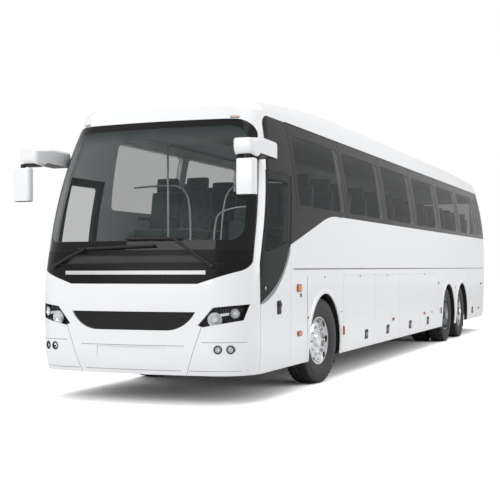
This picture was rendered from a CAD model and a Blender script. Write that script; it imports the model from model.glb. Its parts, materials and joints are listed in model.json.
"""Dresses the touring coach: paint, glass, lamps, wheels, mirrors, seats and small fittings."""
from __future__ import annotations

import json
import logging
import math
from dataclasses import dataclass
from enum import Enum
from typing import Callable, Iterable, Sequence

import bpy
from mathutils import Matrix, Vector
from mathutils.bvhtree import BVHTree

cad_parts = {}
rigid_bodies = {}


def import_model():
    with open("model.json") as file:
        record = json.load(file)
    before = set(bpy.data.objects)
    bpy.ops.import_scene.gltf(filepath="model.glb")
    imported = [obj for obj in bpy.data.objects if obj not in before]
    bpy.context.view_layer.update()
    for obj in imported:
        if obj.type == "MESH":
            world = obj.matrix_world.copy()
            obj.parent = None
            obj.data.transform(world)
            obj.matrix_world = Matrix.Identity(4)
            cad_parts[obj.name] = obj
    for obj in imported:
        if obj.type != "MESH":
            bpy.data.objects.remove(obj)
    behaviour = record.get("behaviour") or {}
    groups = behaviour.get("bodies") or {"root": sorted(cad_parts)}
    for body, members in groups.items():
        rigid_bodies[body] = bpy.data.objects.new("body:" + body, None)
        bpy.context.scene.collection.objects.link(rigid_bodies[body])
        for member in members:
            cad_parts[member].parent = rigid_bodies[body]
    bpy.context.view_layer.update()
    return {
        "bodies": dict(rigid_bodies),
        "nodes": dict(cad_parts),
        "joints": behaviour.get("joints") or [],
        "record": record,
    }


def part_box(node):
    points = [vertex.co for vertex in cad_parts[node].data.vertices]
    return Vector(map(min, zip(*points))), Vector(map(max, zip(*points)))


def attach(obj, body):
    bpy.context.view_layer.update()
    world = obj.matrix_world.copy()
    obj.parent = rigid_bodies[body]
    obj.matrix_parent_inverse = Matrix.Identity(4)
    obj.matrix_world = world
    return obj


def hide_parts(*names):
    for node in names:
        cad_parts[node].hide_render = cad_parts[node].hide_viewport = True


LOG = logging.getLogger("coach")

Point2 = tuple[float, float]
Point3 = tuple[float, float, float]
Colour = tuple[float, float, float]
Piece = bpy.types.Object
Face = bpy.types.MeshPolygon
Material = bpy.types.Material
FaceTest = Callable[[Face], bool]

AXLES_Y = (-4.79, 3.045, 4.445)
ARCH_Z = 0.465


class Side(Enum):
    """Side of the vehicle, as the sign of its X coordinate."""

    LEFT = 1
    RIGHT = -1

    @property
    def label(self) -> str:
        """Word used in node and body names."""
        return self.name.lower()

    @property
    def direction(self) -> "Direction":
        """Where this side is looked at from."""
        return Direction[self.name]


class Direction(Enum):
    """Which way the skin is looked at when a fitting is placed on it."""

    LEFT = Vector((1.0, 0.0, 0.0))
    RIGHT = Vector((-1.0, 0.0, 0.0))
    FRONT = Vector((0.0, -1.0, 0.0))
    REAR = Vector((0.0, 1.0, 0.0))
    TOP = Vector((0.0, 0.0, 1.0))


# Shader building


class Value:
    """A socket's number, with Python's operators as Math nodes."""

    def __init__(self, sheet: "Sheet", socket: bpy.types.NodeSocket) -> None:
        """Wraps a socket.

        Args:
            sheet: The node sheet that new Math nodes go on.
            socket: The output that carries the number.
        """
        self.sheet = sheet
        self.socket = socket

    def maths(self, operation: str, *others: "Value | float") -> "Value":
        """Adds one Math node.

        Args:
            operation: Blender's name of the operation.
            others: The second and third numbers.

        Returns:
            The node's result.
        """
        node = self.sheet.node("ShaderNodeMath", {"operation": operation}, {})
        for index, entry in enumerate((self, *others)):
            self.sheet.feed(node.inputs[index], entry)
        return Value(self.sheet, node.outputs[0])

    def __add__(self, other: "Value | float") -> "Value":
        """Sum."""
        return self.maths("ADD", other)

    __radd__ = __add__

    def __sub__(self, other: "Value | float") -> "Value":
        """Difference."""
        return self.maths("SUBTRACT", other)

    def __rsub__(self, other: float) -> "Value":
        """Difference from a plain number."""
        return self.maths("MULTIPLY", -1.0) + other

    def __mul__(self, other: "Value | float") -> "Value":
        """Product."""
        return self.maths("MULTIPLY", other)

    __rmul__ = __mul__

    def __truediv__(self, other: "Value | float") -> "Value":
        """Quotient."""
        return self.maths("DIVIDE", other)

    def __abs__(self) -> "Value":
        """Size without its sign."""
        return self.maths("ABSOLUTE")

    def least(self, other: "Value | float") -> "Value":
        """Smaller of the two."""
        return self.maths("MINIMUM", other)

    def most(self, other: "Value | float") -> "Value":
        """Larger of the two."""
        return self.maths("MAXIMUM", other)

    def below(self, edge: "Value | float") -> "Value":
        """One where the number is under the edge, and otherwise nought."""
        return self.maths("LESS_THAN", edge)

    def ramp(self, low: float, high: float) -> "Value":
        """Rises from nought at low to one at high, and stays there.

        Args:
            low: Where the rise starts.
            high: Where it ends.

        Returns:
            The clamped share.
        """
        node = self.sheet.node("ShaderNodeMapRange", {"clamp": True}, {})
        self.sheet.feed(node.inputs["Value"], self)
        node.inputs["From Min"].default_value = low
        node.inputs["From Max"].default_value = high
        return Value(self.sheet, node.outputs["Result"])


class Sheet:
    """Node tree of one material."""

    def __init__(self, name: str) -> None:
        """Starts an empty tree.

        Args:
            name: The material's name.
        """
        self.material = bpy.data.materials.new(name)
        self.material.use_nodes = True
        self.tree = self.material.node_tree
        self.tree.nodes.clear()
        self.output = self.node("ShaderNodeOutputMaterial", {}, {})
        self._place: bpy.types.Node | None = None

    def node(self, kind: str, settings: dict, inputs: dict) -> bpy.types.Node:
        """Adds a node.

        Args:
            kind: Blender's type name of the node.
            settings: Its properties, such as an operation.
            inputs: Values or links of its sockets, by name.

        Returns:
            The new node.
        """
        node = self.tree.nodes.new(kind)
        for key, entry in settings.items():
            setattr(node, key, entry)
        for key, entry in inputs.items():
            self.feed(node.inputs[key], entry)
        return node

    def feed(self, socket: bpy.types.NodeSocket, entry: object) -> None:
        """Gives a socket a link or a plain value.

        Args:
            socket: The input to fill.
            entry: Number, colour, socket or Value.
        """
        if isinstance(entry, Value):
            self.tree.links.new(entry.socket, socket)
        elif isinstance(entry, bpy.types.NodeSocket):
            self.tree.links.new(entry, socket)
        elif isinstance(entry, tuple) and len(entry) == 3 and len(socket.default_value) == 4:
            socket.default_value = (*entry, 1.0)
        else:
            socket.default_value = entry

    @property
    def place(self) -> bpy.types.NodeSocket:
        """Object coordinates.

        Returns:
            The socket, made at its first use.
        """
        if self._place is None:
            self._place = self.node("ShaderNodeTexCoord", {}, {})
        return self._place.outputs["Object"]

    def axes(self) -> tuple[Value, Value, Value]:
        """Object coordinates as three numbers."""
        split = self.node("ShaderNodeSeparateXYZ", {}, {"Vector": self.place})
        return tuple(Value(self, socket) for socket in split.outputs)

    def stretched(self, scale: Point3) -> bpy.types.NodeSocket:
        """Object coordinates with a scale for each axis."""
        return self.node("ShaderNodeMapping", {}, {"Vector": self.place, "Scale": scale}).outputs[0]

    def noise(self, scale: float, detail: float = 3.0, vector: object = None) -> Value:
        """Fractal noise over the surface.

        Args:
            scale: Grains to the metre.
            detail: Octaves.
            vector: Coordinates, the object's own if left out.

        Returns:
            The noise, about one half.
        """
        entries = {"Vector": vector or self.place, "Scale": scale, "Detail": detail}
        return Value(self, self.node("ShaderNodeTexNoise", {}, entries).outputs[0])

    def mix(self, share: Value | float, first: object, second: object) -> bpy.types.NodeSocket:
        """Mixes two colours.

        Args:
            share: How much of the second.
            first: Colour or socket.
            second: Colour or socket.

        Returns:
            The mixed colour.
        """
        node = self.node("ShaderNodeMix", {"data_type": "RGBA"}, {})
        self.feed(node.inputs[0], share)
        self.feed(node.inputs[6], first)
        self.feed(node.inputs[7], second)
        return node.outputs[2]

    def bump(self, height: Value, depth: float, strength: float = 1.0) -> bpy.types.NodeSocket:
        """Bump from a height.

        Args:
            height: Height, from nought to one.
            depth: What one stands for, in metres.
            strength: Share of the effect.

        Returns:
            The normal.
        """
        entries = {"Height": height, "Distance": depth, "Strength": strength}
        return self.node("ShaderNodeBump", {}, entries).outputs[0]

    def surface(self, **sockets: object) -> bpy.types.Node:
        """Adds the surface shader.

        Args:
            sockets: Values or links, with underscores for spaces in the names.

        Returns:
            The shader node.
        """
        inputs = {key.replace("_", " "): entry for key, entry in sockets.items()}
        shader = self.node("ShaderNodeBsdfPrincipled", {}, inputs)
        self.tree.links.new(shader.outputs[0], self.output.inputs[0])
        return shader


# Finishes


@dataclass(frozen=True)
class Paint:
    """Glossy coachwork paint under a clear coat, with road film towards the sills."""

    name: str = "coach_white"
    colour: Colour = (0.82, 0.83, 0.84)
    film: Colour = (0.62, 0.61, 0.58)
    film_top: float = 0.95
    film_low: float = 0.2
    film_share: float = 0.14
    film_dulls: float = 1.5
    roughness: float = 0.24
    coat: float = 0.7
    coat_roughness: float = 0.04

    @staticmethod
    def ripple(sheet: Sheet) -> bpy.types.NodeSocket:
        """Faint waves of sprayed paint."""
        return sheet.bump(sheet.noise(30.0, 1.0), 0.0006, 0.25)

    def build(self) -> Material:
        """Makes the material.

        Returns:
            The material.
        """
        sheet = Sheet(self.name)
        height = sheet.axes()[2]
        patch = sheet.noise(0.9, 2.0) * 0.5 + 0.5
        film = height.ramp(self.film_top, self.film_low) * patch * self.film_share
        base = sheet.mix(film, self.colour, self.film)
        sheet.surface(Base_Color=base, Roughness=film * self.film_dulls + self.roughness,
                      Coat_Weight=self.coat, Coat_Roughness=self.coat_roughness, Normal=self.ripple(sheet))
        return sheet.material


@dataclass(frozen=True)
class DoorPaint(Paint):
    """Door paint: white below a rising curve and gloss black above it."""

    name: str = "door_two_tone"
    roughness: float = 0.2
    black: Colour = (0.013, 0.013, 0.014)
    front_y: float = -6.982
    front_z: float = 1.042
    run: float = 0.94
    rise: float = 0.637
    band_low: float = 2.055
    half_edge: float = 0.001
    mirror: float = 0.12

    def build(self) -> Material:
        """Makes the material.

        Returns:
            The material.
        """
        sheet = Sheet(self.name)
        _, along, up = sheet.axes()
        share = (along - self.front_y) / self.run
        fourth = share * share * share * share
        curve = (share + fourth) * (0.5 * self.rise) + self.front_z
        ahead = along.below(0.0)
        edge = curve * ahead + (1.0 - ahead) * self.band_low
        dark = (up - edge).ramp(-self.half_edge, self.half_edge)
        film = up.ramp(self.film_top, self.film_low) * self.film_share
        white = sheet.mix(film, self.colour, self.film)
        sheet.surface(Base_Color=sheet.mix(dark, white, self.black),
                      Roughness=film * self.film_dulls + self.roughness,
                      Coat_Weight=self.coat - dark * self.coat, Coat_Roughness=self.coat_roughness,
                      Specular_IOR_Level=self.mirror, Normal=self.ripple(sheet))
        return sheet.material


@dataclass(frozen=True)
class Plastic:
    """Moulded plastic or rubber with a fine grain."""

    name: str
    colour: Colour
    roughness: float = 0.5
    grain: float = 900.0
    depth: float = 0.0003
    coat: float = 0.0
    mirror: float = 0.5

    def build(self) -> Material:
        """Makes the material.

        Returns:
            The material.
        """
        sheet = Sheet(self.name)
        grain = sheet.noise(self.grain, 2.0)
        cloud = sheet.noise(5.0, 3.0)
        pale = tuple(min(1.0, channel * 1.35 + 0.004) for channel in self.colour)
        sheet.surface(Base_Color=sheet.mix(cloud.ramp(0.35, 0.8) * 0.6, self.colour, pale),
                      Roughness=cloud * 0.16 + (self.roughness - 0.08), Coat_Weight=self.coat,
                      Specular_IOR_Level=self.mirror, Coat_Roughness=0.05,
                      Normal=sheet.bump(grain, self.depth, 0.5))
        return sheet.material


@dataclass(frozen=True)
class Metal:
    """Bare or plated metal with fine turning marks."""

    name: str
    colour: Colour = (0.75, 0.76, 0.78)
    roughness: float = 0.16
    marks: float = 420.0

    def build(self) -> Material:
        """Makes the material.

        Returns:
            The material.
        """
        sheet = Sheet(self.name)
        marks = sheet.noise(self.marks, 2.0, sheet.stretched((1.0, 0.25, 0.25)))
        smear = sheet.noise(9.0, 3.0)
        dull = tuple(channel * 0.72 for channel in self.colour)
        sheet.surface(Base_Color=sheet.mix(smear.ramp(0.35, 0.85) * 0.5, self.colour, dull), Metallic=1.0,
                      Roughness=smear * 0.14 + self.roughness, Normal=sheet.bump(marks, 0.0002, 0.3))
        return sheet.material


@dataclass(frozen=True)
class Glass:
    """Tinted glass, let through only inside its clear opening; black print covers the rest."""

    name: str
    tint: Colour
    alpha: float
    opening: Callable[[Sheet], Value] | None = None
    printed: Colour = (0.009, 0.009, 0.0095)
    mirror: float = 0.07
    refraction: float = 1.5

    def build(self) -> Material:
        """Makes the material.

        Returns:
            The material.
        """
        sheet = Sheet(self.name)
        film = sheet.noise(2.2, 3.0).ramp(0.3, 0.8) * 0.02
        if self.opening is None:
            sheet.surface(Base_Color=self.tint, Roughness=film + 0.02, Alpha=self.alpha,
                          IOR=self.refraction, Specular_IOR_Level=self.mirror)
            return sheet.material
        clear = self.opening(sheet)
        sheet.surface(Base_Color=sheet.mix(clear, self.printed, self.tint), Roughness=film + 0.035,
                      Alpha=1.0 - clear * (1.0 - self.alpha), IOR=self.refraction,
                      Specular_IOR_Level=self.mirror)
        return sheet.material


@dataclass(frozen=True)
class Lens:
    """Coloured lamp lens with moulded ribs."""

    name: str
    colour: Colour
    ribs: float = 260.0 / 6.0
    glow: float = 0.0

    def build(self) -> Material:
        """Makes the material.

        Returns:
            The material.
        """
        sheet = Sheet(self.name)
        ribs = Value(sheet, sheet.node("ShaderNodeTexWave", {"bands_direction": "Z"},
                                       {"Vector": sheet.place, "Scale": self.ribs}).outputs[1])
        deep = tuple(channel * 0.6 for channel in self.colour)
        sheet.surface(Base_Color=sheet.mix(ribs * 0.5, self.colour, deep), Roughness=ribs * 0.1 + 0.12,
                      Coat_Weight=0.6, Emission_Color=self.colour, Emission_Strength=self.glow,
                      Normal=sheet.bump(ribs, 0.0008, 0.4))
        return sheet.material


@dataclass(frozen=True)
class Tyre:
    """Black rubber, paler with dust on the tread."""

    name: str = "tyre_rubber"
    colour: Colour = (0.022, 0.022, 0.023)
    dust: Colour = (0.085, 0.08, 0.075)

    def build(self) -> Material:
        """Makes the material.

        Returns:
            The material.
        """
        sheet = Sheet(self.name)
        grain = sheet.noise(260.0, 4.0)
        dust = sheet.noise(14.0, 5.0).ramp(0.42, 0.8)
        sheet.surface(Base_Color=sheet.mix(dust * 0.45, self.colour, self.dust), Roughness=dust * 0.2 + 0.62,
                      Normal=sheet.bump(grain, 0.0008, 0.5))
        return sheet.material


@dataclass(frozen=True)
class Cloth:
    """Woven seat cover with a small diamond pattern."""

    name: str = "seat_cloth"
    colour: Colour = (0.035, 0.042, 0.05)
    thread: Colour = (0.1, 0.115, 0.13)
    cells: float = 90.0

    def build(self) -> Material:
        """Makes the material.

        Returns:
            The material.
        """
        sheet = Sheet(self.name)
        across, along, up = sheet.axes()
        first = ((across + up + along) * self.cells).maths("SINE")
        second = ((across - up - along) * self.cells).maths("SINE")
        weave = (first * second).ramp(0.2, 0.9)
        threads = sheet.noise(1500.0, 2.0)
        sheet.surface(Base_Color=sheet.mix(weave * 0.5, self.colour, self.thread),
                      Roughness=threads * 0.1 + 0.82, Sheen_Weight=0.35,
                      Normal=sheet.bump(threads * 0.5 + weave * 0.5, 0.0012, 0.6))
        return sheet.material


@dataclass(frozen=True)
class Openings:
    """Places of the clear glass, in metres."""

    start: float = -5.8
    pitch: float = 2.035
    full_panes: int = 6
    edge: float = 0.095
    low: float = 2.135
    high: float = 2.955
    last_end: float = 7.005
    round_off: float = 0.07
    body_half: float = 1.275
    tumble_z: float = 1.75
    tumble_r: float = 5.58
    screen_low: float = 1.7
    screen_high: float = 2.932
    sun_strip: float = 0.2
    sun_strip_share: float = 0.75
    screen_edge: float = 0.125
    screen_round_off: float = 0.13
    rear_half: float = 0.93
    rear_low: float = 2.18
    rear_high: float = 2.9
    rear_face: float = 7.2
    mask_edge: float = 0.004

    def rounded(self, half_y: Value, half_z: Value, radius: float) -> Value:
        """One inside a rectangle with round corners.

        Args:
            half_y: How far inside the left and right edges, positive inside.
            half_z: How far inside the top and bottom edges, positive inside.
            radius: The corners' radius.

        Returns:
            The mask.
        """
        over_y = (radius - half_y).most(0.0)
        over_z = (radius - half_z).most(0.0)
        far = (over_y * over_y + over_z * over_z).maths("SQRT")
        return (radius - far).ramp(0.0, self.mask_edge)

    def band(self, sheet: Sheet) -> Value:
        """Clear part of the side windows.

        Args:
            sheet: The glass's node sheet.

        Returns:
            The mask.
        """
        _, along, up = sheet.axes()
        place = along - self.start
        step = (place / self.pitch).maths("FLOOR").least(float(self.full_panes)) * self.pitch
        in_pane = place - step
        near = in_pane - self.edge
        far = (self.pitch - self.edge - in_pane).least(self.last_end - along)
        top = self.high - up
        bottom = up - self.low
        return self.rounded(near.least(far), top.least(bottom), self.round_off)

    def side_inset(self, sheet: Sheet, inset: float) -> Value:
        """How far a point is inside the body's leaning side.

        Args:
            sheet: The glass's node sheet.
            inset: Taken off the distance.

        Returns:
            The distance, positive inside.
        """
        across, _, up = sheet.axes()
        rise = (up - self.tumble_z).most(0.0)
        half = self.body_half - rise * rise * (0.5 / self.tumble_r)
        return half - abs(across) - inset

    def screen(self, sheet: Sheet) -> Value:
        """Clear part of the windscreen, shaded along its top.

        Args:
            sheet: The glass's node sheet.

        Returns:
            The mask.
        """
        up = sheet.axes()[2]
        below = self.screen_high - up
        shade = below.ramp(0.0, self.sun_strip) * self.sun_strip_share + (1.0 - self.sun_strip_share)
        inside = self.rounded(self.side_inset(sheet, self.screen_edge), below.least(up - self.screen_low),
                              self.screen_round_off)
        return inside * shade

    def rear(self, sheet: Sheet) -> Value:
        """Clear part of the rear window.

        Args:
            sheet: The glass's node sheet.

        Returns:
            The mask.
        """
        across, along, up = sheet.axes()
        inside = (self.rear_high - up).least(up - self.rear_low)
        mask = self.rounded(self.rear_half - abs(across), inside, self.round_off)
        return mask * (self.rear_face - along).below(0.0)


class Palette:
    """Every finish of the coach, built once."""

    def __init__(self) -> None:
        """Builds the materials."""
        spots = Openings()
        dark = (0.016, 0.019, 0.019)
        self.white = Paint().build()
        self.door_paint = DoorPaint().build()
        self.black = Plastic("black_gloss", (0.014, 0.0135, 0.013), 0.2, 60.0, 0.0002, mirror=0.07).build()
        self.satin = Plastic("black_satin", (0.009, 0.0088, 0.0085), 0.34, 500.0, mirror=0.1).build()
        self.panel = Plastic("cowl_grey", (0.034, 0.033, 0.032), 0.45, 500.0, mirror=0.2).build()
        self.trim = Plastic("black_trim", (0.014, 0.014, 0.0145), 0.5, mirror=0.3).build()
        self.grey = Plastic("grey_moulding", (0.2, 0.205, 0.21), 0.55).build()
        self.lining = Plastic("cabin_lining", (0.3, 0.31, 0.31), 0.7).build()
        self.leg = Plastic("seat_frame", (0.06, 0.062, 0.064), 0.5).build()
        self.carpet = Plastic("floor_covering", (0.07, 0.072, 0.075), 0.85, 700.0, 0.001).build()
        self.frame = Plastic("chassis_paint", (0.018, 0.018, 0.019), 0.45, 90.0, 0.001, 0.2).build()
        self.cast = Plastic("cast_metal", (0.1, 0.1, 0.1), 0.6, 240.0, 0.0015).build()
        self.chrome = Metal("bright_plate", (0.86, 0.87, 0.88), 0.05).build()
        self.alloy = Metal("polished_alloy", (0.78, 0.79, 0.8), 0.13).build()
        self.steel = Metal("dull_steel", (0.42, 0.42, 0.43), 0.3).build()
        self.strip = Metal("brushed_strip", (0.82, 0.82, 0.83), 0.22, 40.0).build()
        self.band = Glass("window_band", dark, 0.36, spots.band).build()
        self.screen = Glass("windscreen_glass", (0.11, 0.14, 0.135), 0.1, spots.screen, mirror=0.2).build()
        self.rear = Glass("rear_glass", dark, 0.45, spots.rear).build()
        self.door = Glass("door_glass", (0.03, 0.036, 0.036), 0.24).build()
        self.cover = Glass("lamp_cover", (0.04, 0.042, 0.044), 0.04, mirror=0.2).build()
        self.mirror = Metal("mirror_glass", (0.8, 0.82, 0.83), 0.01).build()
        self.amber = Lens("amber_lens", (0.72, 0.2, 0.02), glow=0.05).build()
        self.pale = Lens("pale_amber_lens", (0.72, 0.5, 0.4)).build()
        self.red = Lens("red_lens", (0.5, 0.012, 0.012), glow=0.05).build()
        self.clear = Lens("clear_lens", (0.75, 0.77, 0.78)).build()
        self.tyre = Tyre().build()
        self.cloth = Cloth().build()


# Modelling


class Bench:
    """Modelling moves that every sub-assembly shares."""

    def __init__(self, frame: dict) -> None:
        """Keeps the frame at hand.
        """
        self.nodes = frame["nodes"]
        self.body_of = {node: body for body, group in frame["record"]["behaviour"]["bodies"].items()
                        for node in group}
        self.count = 0

    @staticmethod
    def grab(*pieces: Piece) -> None:
        """Selects some pieces alone, the last one active.

        Args:
            pieces: What is selected.
        """
        if bpy.context.object and bpy.context.object.mode != "OBJECT":
            bpy.ops.object.mode_set(mode="OBJECT")
        bpy.ops.object.select_all(action="DESELECT")
        for piece in pieces:
            piece.select_set(True)
        bpy.context.view_layer.objects.active = pieces[-1]

    def edit(self, piece: Piece, chosen: FaceTest | None = None) -> None:
        """Opens a piece for editing.

        Args:
            piece: The mesh to edit.
            chosen: Says which faces are selected; every vertex is if it is left out.
        """
        self.grab(piece)
        bpy.ops.object.mode_set(mode="EDIT")
        if chosen is None:
            bpy.ops.mesh.select_mode(type="VERT")
            bpy.ops.mesh.select_all(action="SELECT")
            return
        bpy.ops.mesh.select_mode(type="FACE")
        bpy.ops.mesh.select_all(action="DESELECT")
        bpy.ops.object.mode_set(mode="OBJECT")
        for face in piece.data.polygons:
            face.select = chosen(face)
        bpy.ops.object.mode_set(mode="EDIT")

    def settle(self, piece: Piece) -> Piece:
        """Moves a piece's place, turn and size into its mesh.

        Args:
            piece: The piece to settle.

        Returns:
            The same piece.
        """
        self.grab(piece)
        bpy.ops.object.transform_apply(location=True, rotation=True, scale=True)
        return piece

    def modified(self, piece: Piece, kind: str, **settings: object) -> Piece:
        """Adds a modifier and applies it.

        Args:
            piece: The mesh to change.
            kind: Blender's type name of the modifier.
            settings: Its properties.

        Returns:
            The same piece.
        """
        self.grab(piece)
        modifier = piece.modifiers.new(kind.lower(), kind)
        for key, entry in settings.items():
            setattr(modifier, key, entry)
        bpy.ops.object.modifier_apply(modifier=modifier.name)
        return piece

    def smooth(self, piece: Piece, angle: float = 35.0) -> Piece:
        """Shades a piece smooth up to an angle.

        Args:
            piece: The mesh to shade.
            angle: Largest angle between faces that is hidden, in degrees.

        Returns:
            The same piece.
        """
        self.grab(piece)
        bpy.ops.object.shade_smooth_by_angle(angle=math.radians(angle))
        return piece

    def block(self, name: str, low: Sequence[float], high: Sequence[float], bevel: float = 0.004,
              segments: int = 2) -> Piece:
        """Box between two corners with rounded edges.

        Args:
            name: The piece's name.
            low: Lowest corner.
            high: Highest corner.
            bevel: The edges' radius.
            segments: Faces in each rounding.

        Returns:
            The new piece.
        """
        centre = [(a + b) / 2 for a, b in zip(low, high)]
        bpy.ops.mesh.primitive_cube_add(size=1.0, location=centre)
        piece = bpy.context.object
        piece.name = name
        piece.scale = [abs(b - a) for a, b in zip(low, high)]
        self.settle(piece)
        if bevel:
            self.modified(piece, "BEVEL", width=bevel, segments=segments, limit_method="ANGLE")
        return self.smooth(piece)

    def spun(self, name: str, profile: Sequence[Point2], steps: int = 48) -> Piece:
        """Turns a half-section about the X axis.

        Args:
            name: The piece's name.
            profile: Points (x, radius), in order along the section.
            steps: Divisions of the turn.

        Returns:
            The new piece.
        """
        bpy.ops.mesh.primitive_plane_add(size=0.01)
        piece = bpy.context.object
        piece.name = name
        self.edit(piece)
        bpy.ops.mesh.merge(type="CENTER")
        bpy.ops.transform.translate(value=(profile[0][0], 0.0, profile[0][1]))
        for (x0, r0), (x1, r1) in zip(profile, profile[1:]):
            move = {"value": (x1 - x0, 0.0, r1 - r0)}
            bpy.ops.mesh.extrude_vertices_move(TRANSFORM_OT_translate=move)
        bpy.ops.mesh.select_all(action="SELECT")
        bpy.ops.mesh.spin(steps=steps, angle=2 * math.pi, center=(0, 0, 0), axis=(1, 0, 0))
        bpy.ops.mesh.select_all(action="SELECT")
        bpy.ops.mesh.remove_doubles(threshold=1e-5)
        bpy.ops.mesh.normals_make_consistent(inside=False)
        bpy.ops.object.mode_set(mode="OBJECT")
        return self.smooth(piece)

    def plate(self, name: str, outline: Sequence[Point2], thick: float, bevel: float = 0.0) -> Piece:
        """Flat plate in the YZ plane, from x = 0 to x = thick.

        Args:
            name: The piece's name.
            outline: Corners (y, z) in order.
            thick: Thickness along X.
            bevel: Radius of its edges.

        Returns:
            The new piece.
        """
        bpy.ops.mesh.primitive_plane_add(size=0.01)
        piece = bpy.context.object
        piece.name = name
        self.edit(piece)
        bpy.ops.mesh.merge(type="CENTER")
        bpy.ops.transform.translate(value=(0.0, *outline[0]))
        for (y0, z0), (y1, z1) in zip(outline, outline[1:]):
            bpy.ops.mesh.extrude_vertices_move(TRANSFORM_OT_translate={"value": (0.0, y1 - y0, z1 - z0)})
        bpy.ops.mesh.select_all(action="SELECT")
        bpy.ops.mesh.edge_face_add()
        bpy.ops.mesh.extrude_region_move(TRANSFORM_OT_translate={"value": (thick, 0.0, 0.0)})
        bpy.ops.mesh.select_all(action="SELECT")
        bpy.ops.mesh.normals_make_consistent(inside=False)
        bpy.ops.object.mode_set(mode="OBJECT")
        if bevel:
            self.modified(piece, "BEVEL", width=bevel, segments=2, limit_method="ANGLE")
        return self.smooth(piece)

    def tube(self, name: str, points: Sequence[Point3], radius: float, smooth: bool = False) -> Piece:
        """Round bar along some points.

        Args:
            name: The piece's name.
            points: Where it goes.
            radius: Its radius.
            smooth: Whether the bar curves through the points or bends at them.

        Returns:
            The bar as a mesh.
        """
        curve = bpy.data.curves.new(name, "CURVE")
        curve.dimensions = "3D"
        curve.bevel_depth = radius
        curve.bevel_resolution = 3
        curve.use_fill_caps = True
        spline = curve.splines.new("NURBS" if smooth else "POLY")
        spline.points.add(len(points) - 1)
        for knot, point in zip(spline.points, points):
            knot.co = (*point, 1.0)
        if smooth:
            spline.order_u = 3
            spline.use_endpoint_u = True
        piece = bpy.data.objects.new(name, curve)
        bpy.context.scene.collection.objects.link(piece)
        self.grab(piece)
        bpy.ops.object.convert(target="MESH")
        return self.smooth(bpy.context.object, 50.0)

    def copy_of(self, node: str, name: str, angle: float = 30.0) -> Piece:
        """Merged, smoothly shaded copy of a CAD node that stands for it.

        Args:
            node: The node's name.
            name: The new piece's name.
            angle: Largest angle that is shaded smooth, in degrees.

        Returns:
            The copy, riding on the node's body.
        """
        piece = bpy.data.objects.new(name, self.nodes[node].data.copy())
        bpy.context.scene.collection.objects.link(piece)
        self.grab(piece)
        bpy.ops.mesh.customdata_custom_splitnormals_clear()
        self.edit(piece)
        bpy.ops.mesh.remove_doubles(threshold=0.00002)
        bpy.ops.object.mode_set(mode="OBJECT")
        self.smooth(piece, angle)
        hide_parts(node)
        return piece

    def split_off(self, piece: Piece, name: str,
                  chosen: FaceTest) -> Piece:
        """Separates some faces of a piece as a piece of their own.

        Args:
            piece: The mesh that loses the faces.
            name: The new piece's name.
            chosen: Says which faces go.

        Returns:
            The new piece, standing for the same CAD nodes.
        """
        self.edit(piece, chosen)
        bpy.ops.mesh.separate(type="SELECTED")
        bpy.ops.object.mode_set(mode="OBJECT")
        part = [entry for entry in bpy.context.selected_objects if entry != piece][0]
        part.name = name
        return part

    def turned(self, piece: Piece, matrix: Matrix) -> Piece:
        """Places a piece by a matrix and settles it."""
        piece.matrix_world = matrix @ piece.matrix_basis
        return self.settle(piece)

    def twin(self, piece: Piece, name: str) -> Piece:
        """Copy of a piece with a mesh of its own.

        Args:
            piece: What is copied.
            name: The copy's name.

        Returns:
            The copy.
        """
        other = bpy.data.objects.new(name, piece.data.copy())
        bpy.context.scene.collection.objects.link(other)
        return other

    def joined(self, name: str, pieces: Sequence[Piece]) -> Piece:
        """Joins pieces into one mesh.

        Args:
            name: The new piece's name.
            pieces: What is joined.

        Returns:
            The joined piece.
        """
        self.grab(*pieces)
        bpy.ops.object.join()
        whole = bpy.context.object
        whole.name = name
        whole.data.name = name
        return whole

    def group(self, name: str, pieces: Sequence[Piece], material: Material, slot: str,
              body: str = "coach") -> Piece:
        """Joins pieces into one finished piece.

        Args:
            name: The new piece's name.
            pieces: What is joined.
            material: Its finish.
            slot: The record's material slot.
            body: The CAD body it rides on.

        Returns:
            The joined piece.
        """
        return self.finish(self.joined(name, pieces), body, material, slot)

    def dished(self, piece: Piece, least_area: float, inset: float, depth: float) -> Piece:
        """Sinks the middle of a plate's front.

        Args:
            piece: A plate that faces +X.
            least_area: Smallest area of its front face.
            inset: Width of the rim that stays.
            depth: How deep the middle is sunk.

        Returns:
            The same piece.
        """
        self.edit(piece, lambda face: face.normal.x > 0.99 and face.area > least_area)
        bpy.ops.mesh.inset(thickness=inset)
        bpy.ops.transform.translate(value=(-depth, 0.0, 0.0))
        bpy.ops.object.mode_set(mode="OBJECT")
        return piece

    def finish(self, piece: Piece, body: str, material: Material,
               slot: str) -> Piece:
        """Gives a piece its material, body and slot.

        Args:
            piece: The piece.
            body: The CAD body it rides on.
            material: Its finish.
            slot: The record's material slot.

        Returns:
            The same piece.
        """
        piece.data.materials.clear()
        piece.data.materials.append(material)
        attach(piece, body)
        self.count += 1
        LOG.info("%s on %s", piece.name, body)
        return piece


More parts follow.
